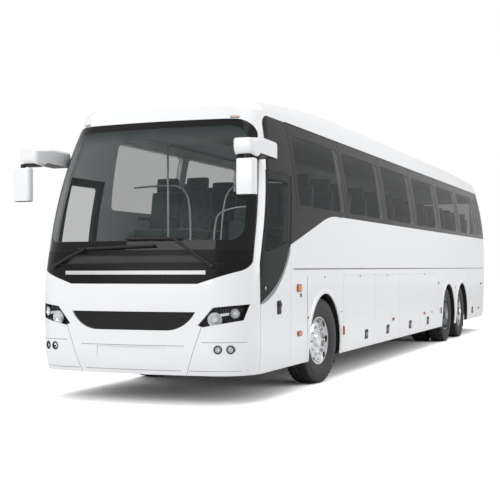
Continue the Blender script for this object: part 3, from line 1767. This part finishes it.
@dataclass
class Saloon:
    """Seats, rails and the driver's place seen through the glass."""

    bench: Bench
    palette: Palette
    first_row: float = -5.33
    pitch: float = 0.83
    rows: int = 14
    floor: float = 1.45
    seat_x: tuple[float, float] = (0.475, 0.905)
    half: float = 0.205
    door_gap: Point2 = (-0.23, 1.5)
    driver: Point3 = (0.62, -6.35, 1.0)
    lean: float = math.radians(10)
    back_foot: Point2 = (0.515, 0.43)
    padding: float = 0.9
    seam_share: float = 0.6
    seam_width: float = 0.012
    crown_share: float = 0.7
    rail_r: float = 0.012
    dash: Point3 = (0.62, -7.0, 1.5)
    dials: tuple[float, ...] = (-0.15, -0.05, 0.05, 0.15)

    def build(self) -> None:
        """Makes the seats, then what stands round them."""
        places = [(x, self.first_row + self.pitch * row, self.floor) for row in range(self.rows)
                  for x in self.seat_x]
        places += [(-x, y, z) for x, y, z in places if not self.door_gap[0] < y < self.door_gap[1]]
        places.append(self.driver)
        patterns = [
            ("seat_cushions", self.cushion(), self.palette.cloth, "seat_fabric", self.padding),
            ("seat_backs", self.back(), self.palette.cloth, "seat_fabric", self.padding),
            ("seat_headrests", self.headrest(), self.palette.cloth, "seat_fabric", self.padding),
            ("seat_frames", self.frame(), self.palette.leg, "grey_plastic", None),
        ]
        for name, pattern, material, slot, fill in patterns:
            parts = []
            for index, place in enumerate(places):
                twin = self.bench.twin(pattern, f"{name}_{index}")
                parts.append(self.bench.turned(twin, Matrix.Translation(place)))
            bpy.data.objects.remove(pattern)
            whole = self.bench.joined(name, parts)
            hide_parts("seats")
            self.bench.finish(whole, "coach", material, slot)
        self.rails()
        self.cab()

    def pad(self, name: str, low: Point3, high: Point3, crown_axis: int, sign: float, crown: float,
            seam: float) -> Piece:
        """Crowned pad with a sunk seam round its main face.

        Args:
            name: The piece's name.
            low: Lowest corner.
            high: Highest corner.
            crown_axis: Axis that its main face looks along.
            sign: Which way along that axis.
            crown: How far the middle swells out.
            seam: How far the seam is from the edge.

        Returns:
            The pad.
        """
        piece = self.bench.block(name, low, high, 0.022, 2)
        middle = (low[crown_axis] + high[crown_axis]) / 2

        def is_main(face: Face) -> bool:
            """Tells whether a face is part of the pad's main side."""
            return face.normal[crown_axis] * sign > 0.95 and (face.center[crown_axis] - middle) * sign > 0

        self.bench.edit(piece, is_main)
        move = [0.0, 0.0, 0.0]
        bpy.ops.mesh.inset(thickness=seam)
        move[crown_axis] = -sign * crown * self.seam_share
        bpy.ops.transform.translate(value=move)
        bpy.ops.mesh.inset(thickness=self.seam_width)
        move[crown_axis] = sign * crown
        bpy.ops.transform.translate(value=move)
        bpy.ops.mesh.inset(thickness=seam)
        move[crown_axis] = sign * crown * self.crown_share
        bpy.ops.transform.translate(value=move)
        bpy.ops.object.mode_set(mode="OBJECT")
        self.bench.modified(piece, "SUBSURF", levels=1, render_levels=1)
        return self.bench.smooth(piece, 60.0)

    def cushion(self) -> Piece:
        """Seat cushion on a floor at z = 0."""
        return self.pad("cushion", (-self.half, 0.02, 0.34), (self.half, 0.5, 0.455), 2, 1.0, 0.012, 0.05)

    def leant(self, piece: Piece) -> Piece:
        """Sets a part of the back on its foot, leaning rearwards."""
        turn = Matrix.Translation((0.0, *self.back_foot)) @ Matrix.Rotation(-self.lean, 4, "X")
        return self.bench.turned(piece, turn)

    def back(self) -> Piece:
        """Backrest leaning rearwards."""
        low, high = (-self.half, -0.055, 0.0), (self.half, 0.05, 0.53)
        return self.leant(self.pad("back", low, high, 1, -1.0, 0.012, 0.05))

    def headrest(self) -> Piece:
        """Headrest over the backrest, in line with it."""
        low, high = (-0.15, -0.05, 0.54), (0.15, 0.035, 0.72)
        return self.leant(self.pad("headrest", low, high, 1, -1.0, 0.008, 0.03))

    def frame(self) -> Piece:
        """Pedestal, armrests and back shell of a seat.

        Returns:
            The frame.
        """
        parts = [
            self.bench.block("pedestal", (-0.11, 0.1, 0.0), (0.11, 0.36, 0.335), 0.01),
            self.bench.block("arm", (-0.215, 0.14, 0.58), (-0.18, 0.52, 0.62), 0.012),
            self.bench.block("arm", (0.18, 0.14, 0.58), (0.215, 0.52, 0.62), 0.012),
        ]
        shell = self.bench.block("shell", (-0.19, 0.05, 0.02), (0.19, 0.075, 0.6), 0.012)
        parts.append(self.leant(shell))
        return self.bench.joined("seat_frame", parts)

    def rails(self) -> None:
        """Bright grab rails at the steps and on the first seats."""
        over_seats = [(0.2, -5.55, 1.46), (0.2, -5.5, 2.1), (0.3, -5.47, 2.42), (0.62, -5.47, 2.44),
                      (1.0, -5.47, 2.42)]
        routes = [
            [(-0.28, -5.98, 1.46), (-0.28, -5.98, 2.2), (-0.3, -5.95, 2.62), (-0.32, -5.9, 2.9)],
            [(-x, y, z) for x, y, z in over_seats],
            over_seats,
            [(0.3, -6.02, 1.02), (0.3, -6.0, 1.9), (0.42, -5.99, 2.12), (0.86, -5.99, 2.12)],
        ]
        parts = [self.bench.tube("rail", route, self.rail_r, True) for route in routes]
        self.bench.group("grab_rails", parts, self.palette.steel, "steel")

    def cab(self) -> None:
        """Hooded instruments and side console on the dashboard."""
        x, y, z = self.dash
        hood = (x - 0.26, y - 0.13, z), (x + 0.26, y + 0.16, z + 0.07)
        console = (x - 0.66, y - 0.02, z - 0.03), (x - 0.32, y + 0.16, z + 0.035)
        dark = [self.bench.block("hood", *hood, 0.025, 3), self.bench.block("console", *console, 0.02)]
        pale = []
        facing = Vector((0.0, 0.8, 0.6)).normalized()
        profile = [(0.0, 0.0), (0.0, 0.044), (0.006, 0.044), (0.008, 0.04), (0.002, 0.036), (0.002, 0.0)]
        for offset in self.dials:
            dial = self.bench.spun("dial", profile, 24)
            place = Vector((x + offset, y + 0.165, z + 0.03))
            pale.append(self.bench.turned(dial, frame_on(place, facing)))
        self.bench.group("dash_hoods", dark, self.palette.trim, "black_trim")
        self.bench.group("dash_dials", pale, self.palette.grey, "grey_plastic")


@dataclass
class RearTrim:
    """Lamp clusters, louvres, handle and reflectors of the rear."""

    bench: Bench
    palette: Palette
    skin: Skin
    lamp_x: float = 1.115
    lamp_z: tuple[float, ...] = (0.925, 1.07, 1.215, 1.36, 1.49)
    lamp_r: float = 0.05
    louvre_x: Point2 = (0.36, 0.8064)
    louvre_z: Point2 = (0.9, 1.2)
    louvres: int = 9
    lid_plate: Point2 = (0.0, 1.36)
    lid_grip: Point2 = (0.0, 0.88)
    reflector: Point2 = (0.98, 0.56)
    top_marker: Point2 = (0.86, 3.06)
    brake_light: Point2 = (0.0, 3.06)

    def build(self) -> None:
        """Makes the trim."""
        self.clusters()
        self.lid()
        self.markers()

    def on_rear(self, x: float, z: float, lift: float = 0.0) -> Matrix:
        """Matrix to a place on the rear skin."""
        return self.skin.frame(Direction.REAR, x, z, lift)

    def clusters(self) -> None:
        """Round lenses with bright rings, one over another."""
        red = self.palette.red
        kinds = (self.palette.clear, red, red, self.palette.amber, red)
        boards = self.bench.copy_of("tail_lamps", "tail_lamp_boards")
        self.bench.finish(boards, "coach", self.palette.trim, "black_trim")
        rings = []
        r = self.lamp_r
        bulge = [(0.0, r), (0.006, r * 0.97), (0.012, r * 0.8), (0.016, r * 0.45), (0.017, 0.0)]
        hoop = [(0.0, r * 1.16), (0.006, r * 1.13), (0.009, r * 1.05), (0.006, r * 0.98), (0.0, r * 0.98)]
        for index, (z, material) in enumerate(zip(self.lamp_z, kinds)):
            lenses = []
            for side in Side:
                turn = self.on_rear(side.value * self.lamp_x, z, -0.006)
                lenses.append(self.bench.turned(self.bench.spun("lens", bulge, 32), turn))
                rings.append(self.bench.turned(self.bench.spun("ring", hoop, 32), turn))
            self.bench.group(f"tail_lenses_{index + 1}", lenses, material, "tail_lens")
        self.bench.group("tail_lamp_rings", rings, self.palette.chrome, "bright_trim")

    def lid(self) -> None:
        """Louvred intake, plate recess and handle on the engine lid."""
        slats = []
        inner, outer = self.louvre_x
        low, high = self.louvre_z
        for index in range(self.louvres):
            z = low + (high - low) * index / (self.louvres - 1)
            for side in Side:
                turn = self.on_rear(side.value * (inner + outer) / 2, z, -0.009)
                slat = self.bench.plate("slat", rounded_box((outer - inner) / 2, 0.011, 0.008), 0.012, 0.003)
                slats.append(self.bench.turned(slat, turn))
        self.bench.group("lid_louvres", slats, self.palette.trim, "black_trim", "engine_lid")
        frame = self.bench.plate("lid_plate_recess", rounded_box(0.28, 0.09, 0.012), 0.008, 0.002)
        self.bench.dished(frame, 0.01, 0.012, 0.005)
        self.bench.turned(frame, self.on_rear(*self.lid_plate, -0.004))
        self.bench.finish(frame, "engine_lid", self.palette.grey, "grey_plastic")
        grip = self.bench.plate("lid_handle", rounded_box(0.11, 0.022, 0.012), 0.022, 0.006)
        self.bench.turned(grip, self.on_rear(*self.lid_grip, -0.004))
        self.bench.finish(grip, "engine_lid", self.palette.trim, "black_trim")

    def markers(self) -> None:
        """Reflectors in the bumper and marker lamps under the roof."""
        rows = []
        for side in Side:
            # place, half sizes, thickness and bevel
            rows.append((side.value * self.reflector[0], self.reflector[1], 0.07, 0.022, 0.006, 0.002))
            rows.append((side.value * self.top_marker[0], self.top_marker[1], 0.06, 0.016, 0.009, 0.003))
        rows.append((*self.brake_light, 0.2, 0.016, 0.009, 0.003))
        parts = []
        for x, z, half_y, half_z, thick, bevel in rows:
            patch = self.bench.plate("patch", rounded_box(half_y, half_z, 0.008), thick, bevel)
            parts.append(self.bench.turned(patch, self.on_rear(x, z)))
        self.bench.group("rear_markers", parts, self.palette.red, "tail_lens")


@dataclass
class RoofTrim:
    """Fans, vents and hatch fittings on the roof."""

    bench: Bench
    palette: Palette
    skin: Skin
    fans: tuple[float, ...] = (-0.55, 0.35, 1.25, 2.15, 3.05)
    fan_x: float = 0.34
    fan_r: float = 0.21
    fan_bars: int = 10
    sunk: float = 0.015
    hatches: tuple[float, ...] = (-3.3, 5.3)
    catch_x: float = 0.3

    def build(self) -> None:
        """Makes the fittings."""
        dark = []
        r = self.fan_r
        hoop = [(0.0, r), (0.012, r * 0.98), (0.014, r * 0.93), (0.004, r * 0.9), (0.0, r * 0.9)]
        ring = self.bench.spun("ring", hoop, 32)
        hub = self.bench.spun("hub", [(0.0, r * 0.3), (0.008, r * 0.28), (0.01, 0.0)], 20)
        bars = []
        for index in range(self.fan_bars):
            bar = self.bench.block("bar", (0.001, r * 0.25, -0.004), (0.007, r * 0.93, 0.004), 0.0, 1)
            bars.append(self.bench.turned(bar, Matrix.Rotation(2 * math.pi * index / self.fan_bars, 4, "X")))
        fan = self.bench.joined("fan", [ring, hub, *bars])
        for y in self.fans:
            for side in Side:
                turn = self.skin.frame(Direction.TOP, side.value * self.fan_x, y, -self.sunk)
                dark.append(self.bench.turned(self.bench.twin(fan, "fan_copy"), turn))
        bpy.data.objects.remove(fan)
        for y in self.hatches:
            for side in Side:
                catch = self.bench.plate("catch", rounded_box(0.02, 0.05, 0.008), 0.008, 0.002)
                turn = self.skin.frame(Direction.TOP, side.value * self.catch_x, y)
                dark.append(self.bench.turned(catch, turn))
        self.bench.group("roof_fans", dark, self.palette.grey, "grey_plastic")


@dataclass
class Wheels:
    """Tyres with treads, rims with nuts and hub caps."""

    bench: Bench
    palette: Palette
    tyre_r: float = 0.522
    half_w: float = 0.145
    bead_r: float = 0.29
    bead_half: float = 0.115
    tread_half: float = 0.127
    groove: float = 0.013
    steer: float = math.radians(-6)
    kingpin_x: float = 0.905
    nut_ring: float = 0.1675
    nut_count: int = 10
    screw_ring: float = 0.083
    screw_count: int = 8
    tread_sector: float = 3.75
    tread_depth: float = 0.008

    def build(self) -> None:
        """Makes every wheel."""
        rows = [
            # axle, x, tyre planes, disc face, hub end, cap length
            ("front", 1.09, (0.0,), 0.088, 0.088, 0.026),
            ("drive", 0.92, (-0.17, 0.17), 0.012, 0.205, 0.026),
            ("tag", 1.09, (0.0,), 0.088, 0.088, 0.062),
        ]
        for y, (axle, x, planes, disc, hub, cap) in zip(AXLES_Y, rows):
            for side in Side:
                turn = self.place(x, y, side, self.steer if axle == "front" else 0.0)
                body = f"{axle}_wheel_{side.label}"
                tyres = [self.bench.turned(self.tyre(), Matrix.Translation((plane, 0.0, 0.0)))
                         for plane in planes]
                tyre = self.bench.joined(f"{axle}_tyre_tread_{side.label}", tyres)
                self.bench.turned(tyre, turn)
                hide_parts(f"{axle}_tyre_{side.label}")
                self.bench.finish(tyre, body, self.palette.tyre, "tyre")
                rim = self.bench.copy_of(f"{axle}_rim_{side.label}", f"{axle}_rim_dish_{side.label}", 40.0)
                self.bench.finish(rim, body, self.palette.alloy, "rim")
                fittings = self.bench.joined(f"{axle}_nuts_{side.label}", self.fittings(disc, hub, cap))
                self.bench.turned(fittings, turn)
                self.bench.finish(fittings, body, self.palette.chrome, "rim")

    def place(self, x: float, y: float, side: Side, steer: float) -> Matrix:
        """Matrix from a wheel drawn about the origin to its axle.

        Args:
            x: The wheel's distance from the middle.
            y: The axle's place.
            side: Which end of the axle.
            steer: Turn about the kingpin.

        Returns:
            The matrix.
        """
        face = Matrix.Identity(4) if side == Side.LEFT else Matrix.Rotation(math.pi, 4, "Z")
        here = Matrix.Translation((side.value * x, y, self.tyre_r)) @ face
        pin = Matrix.Translation((side.value * self.kingpin_x, y, 0.0))
        return pin @ Matrix.Rotation(steer, 4, "Z") @ pin.inverted() @ here

    def section(self) -> list[Point2]:
        """Outer half of the tyre's section, from the bead to the tread's middle.

        Returns:
            Points (x, radius).
        """
        r, w, bead = self.tyre_r, self.half_w, self.bead_r
        deep, tread = r - self.groove, self.tread_half
        return [(self.bead_half, bead), (self.bead_half + 0.008, bead + 0.008), (w - 0.012, bead + 0.03),
                (w - 0.01, bead + 0.036), (w - 0.004, bead + 0.07), (w, 0.41), (w - 0.001, 0.425),
                (w - 0.003, 0.43), (w - 0.005, 0.46), (w - 0.012, 0.49), (w - 0.014, 0.496),
                (tread, r - 0.009), (tread - 0.008, r - 0.003), (0.094, r - 0.001), (0.09, deep - 0.001),
                (0.078, deep - 0.001), (0.074, r), (0.042, r), (0.039, deep), (0.027, deep), (0.024, r)]

    def tyre(self) -> Piece:
        """One tyre about the origin, its shoulders cut by cross grooves.

        Returns:
            The tyre.
        """
        outer = self.section()
        bead = (self.bead_half - 0.01, self.bead_r - 0.004)
        profile = outer + [(-x, r) for x, r in reversed(outer)]
        profile += [(-bead[0], bead[1]), bead, profile[0]]
        tyre = self.bench.spun("tyre", profile, 96)
        self.bench.edit(tyre, self.is_tread_cut)
        bpy.ops.mesh.extrude_region_shrink_fatten(TRANSFORM_OT_shrink_fatten={"value": -self.tread_depth})
        bpy.ops.object.mode_set(mode="OBJECT")
        return self.bench.smooth(tyre, 32.0)

    def is_tread_cut(self, face: Face) -> bool:
        """Tells whether a face of the tread is sunk as a cross groove.

        Args:
            face: A face of the tyre.

        Returns:
            Whether it is.
        """
        across, radius = abs(face.center.x), math.hypot(face.center.y, face.center.z)
        turn = math.degrees(math.atan2(face.center.z, face.center.y)) % 360
        sector = int(turn / self.tread_sector)
        shoulder = 0.094 < across < self.half_w - 0.01 and radius > 0.5
        rib = 0.03 < across < 0.075 and radius > self.tyre_r - 0.004
        return shoulder and sector % 2 == 0 or rib and sector % 4 == 1

    def fittings(self, disc: float, hub: float, cap: float) -> list[Piece]:
        """Nut ring, hub cap and its screws about the origin.

        Args:
            disc: Where the nuts stand, along X.
            hub: Where the cap stands.
            cap: The cap's length.

        Returns:
            The parts.
        """
        end = hub + cap
        nut = [(0.0, 0.0), (0.0, 0.021), (0.006, 0.021), (0.007, 0.0165), (0.026, 0.0155), (0.03, 0.011),
               (0.031, 0.0)]
        lid = [(hub - 0.002, 0.092), (hub + 0.006, 0.092), (hub + 0.01, 0.088), (hub + 0.01, 0.078),
               (end - 0.004, 0.072), (end + 0.004, 0.064), (end + 0.006, 0.03), (end + 0.001, 0.026),
               (end + 0.001, 0.0)]
        screw = [(hub + 0.008, 0.0), (hub + 0.008, 0.006), (hub + 0.015, 0.006), (hub + 0.016, 0.0)]
        parts = self.ringed("nut", [(disc + x, r) for x, r in nut], self.nut_ring, self.nut_count, 0.0)
        parts.append(self.bench.spun("cap", lid, 48))
        return parts + self.ringed("screw", screw, self.screw_ring, self.screw_count, 0.5)

    def ringed(self, name: str, profile: Sequence[Point2], radius: float, count: int,
               offset: float) -> list[Piece]:
        """Six-sided pieces in a ring about the X axis.

        Args:
            name: What they are called.
            profile: Points (x, radius) of one.
            radius: The ring's radius.
            count: How many.
            offset: Where the first one stands, in steps of the ring.

        Returns:
            The pieces.
        """
        parts = []
        pattern = self.bench.spun(name, profile, 6)
        for index in range(count):
            angle = 2 * math.pi * (index + offset) / count
            shift = Matrix.Translation((0.0, radius * math.cos(angle), radius * math.sin(angle)))
            parts.append(self.bench.turned(self.bench.twin(pattern, f"{name}_{index}"), shift))
        bpy.data.objects.remove(pattern)
        return parts


@dataclass
class Studio:
    """Camera, lamps and floor."""

    position: Point3 = (5.179, -17.095, 1.409)
    yaw: float = math.radians(21.826)
    pitch: float = math.radians(0.960)
    roll: float = -0.003
    lens: float = 75.36
    shift: Point2 = (0.00485, 0.0017)
    floor_half: float = 60.0
    floor_colour: Colour = (0.8, 0.8, 0.8)
    floor_seen: Colour = (1.7, 1.7, 1.7)
    world_light: float = 0.78
    world_colour: Colour = (0.98, 0.985, 1.0)

    def build(self) -> None:
        """Sets the stage."""
        self.camera()
        self.floor()
        self.world()
        self.lamps()

    def camera(self) -> None:
        """Places the camera as the photograph's."""
        data = bpy.data.cameras.new("camera")
        data.lens = self.lens
        data.shift_x, data.shift_y = self.shift
        data.clip_end = 200.0
        camera = bpy.data.objects.new("camera", data)
        bpy.context.scene.collection.objects.link(camera)
        level = math.cos(self.pitch)
        ahead = Vector((-math.sin(self.yaw) * level, math.cos(self.yaw) * level, math.sin(self.pitch)))
        turn = ahead.to_track_quat("-Z", "Y").to_matrix().to_4x4() @ Matrix.Rotation(self.roll, 4, "Z")
        camera.matrix_world = Matrix.Translation(self.position) @ turn
        bpy.context.scene.camera = camera

    def floor(self) -> None:
        """Pale floor that keeps the shadow."""
        bpy.ops.mesh.primitive_plane_add(size=2 * self.floor_half, location=(0.0, 0.0, 0.0))
        floor = bpy.context.object
        floor.name = "studio_floor"
        sheet = Sheet("studio_floor")
        matt = sheet.node("ShaderNodeBsdfDiffuse", {}, {"Color": self.floor_colour})
        seen = sheet.node("ShaderNodeBsdfDiffuse", {}, {"Color": self.floor_seen})
        path = sheet.node("ShaderNodeLightPath", {}, {})
        mixer = sheet.node("ShaderNodeMixShader", {}, {})
        sheet.feed(mixer.inputs[0], Value(sheet, path.outputs["Is Camera Ray"]))
        sheet.tree.links.new(matt.outputs[0], mixer.inputs[1])
        sheet.tree.links.new(seen.outputs[0], mixer.inputs[2])
        sheet.tree.links.new(mixer.outputs[0], sheet.output.inputs[0])
        floor.data.materials.append(sheet.material)

    def world(self) -> None:
        """Even studio light, white where the camera, gloss or glass looks at it."""
        world = bpy.data.worlds.new("studio")
        bpy.context.scene.world = world
        world.use_nodes = True
        tree = world.node_tree
        tree.nodes.clear()
        output = tree.nodes.new("ShaderNodeOutputWorld")
        light = tree.nodes.new("ShaderNodeBackground")
        light.inputs[0].default_value = (*self.world_colour, 1.0)
        light.inputs[1].default_value = self.world_light
        seen = tree.nodes.new("ShaderNodeBackground")
        seen.inputs[0].default_value = (1.0, 1.0, 1.0, 1.0)
        path = tree.nodes.new("ShaderNodeLightPath")
        mixer = tree.nodes.new("ShaderNodeMixShader")
        most = tree.nodes.new("ShaderNodeMath")
        most.operation = "MAXIMUM"
        tree.links.new(path.outputs["Is Camera Ray"], most.inputs[0])
        tree.links.new(path.outputs["Is Transmission Ray"], most.inputs[1])
        tree.links.new(most.outputs[0], mixer.inputs[0])
        tree.links.new(light.outputs[0], mixer.inputs[1])
        tree.links.new(seen.outputs[0], mixer.inputs[2])
        tree.links.new(mixer.outputs[0], output.inputs[0])

    def lamps(self) -> None:
        """Large soft lamps above and in front."""
        rows = [
            ("overhead", (0.0, -2.0, 9.0), (0.0, 0.0, 0.0), 12.0, 560.0),
            ("front", (-3.0, -17.0, 6.0), (0.0, -7.0, 1.5), 6.0, 420.0),
            ("left", (13.0, 3.0, 6.0), (0.0, 0.0, 1.5), 8.0, 330.0),
        ]
        for name, place, target, size, power in rows:
            data = bpy.data.lights.new(name, "AREA")
            data.size = size
            data.energy = power
            lamp = bpy.data.objects.new(name, data)
            bpy.context.scene.collection.objects.link(lamp)
            aim = Vector(target) - Vector(place)
            lamp.matrix_world = Matrix.Translation(place) @ aim.to_track_quat("-Z", "Y").to_matrix().to_4x4()


SKIN_NODES = (
    "roof_panel", "front_mask", "windscreen", "cowl_panel", "front_bumper", "front_lamps",
    "left_side_wall", "right_side_wall", "side_glazing", "quarter_panels", "driver_door",
    "driver_door_glass", "passenger_doors", "passenger_door_glass", "skirt_panels", "rear_wall",
    "rear_window", "tail_lamps", "engine_lid", "rear_bumper", "roof_equipment",
    "luggage_hatch_left_1", "luggage_hatch_left_2", "luggage_hatch_left_3", "luggage_hatch_left_4",
    "luggage_hatch_right_1", "luggage_hatch_right_2", "luggage_hatch_right_3",
    "rear_flap_left", "rear_flap_right",
)


def main() -> None:
    """Builds the stage and every sub-assembly in turn."""
    logging.basicConfig(level=logging.INFO, format="%(message)s")
    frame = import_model()
    bench = Bench(frame)
    bpy.context.scene.view_settings.view_transform = "Standard"
    palette = Palette()
    Studio().build()
    Coachwork(bench, palette).build()
    Underbody(bench, palette).build()
    skin = Skin(bench.nodes, SKIN_NODES)
    FrontLamps(bench, palette, skin).build()
    FrontTrim(bench, palette, skin).build()
    SideFittings(bench, palette, skin).build()
    Mirrors(bench, palette).build()
    RearTrim(bench, palette, skin).build()
    RoofTrim(bench, palette, skin).build()
    Saloon(bench, palette).build()
    Wheels(bench, palette).build()
    LOG.info("%d pieces", bench.count)


if __name__ == "__main__":
    main()
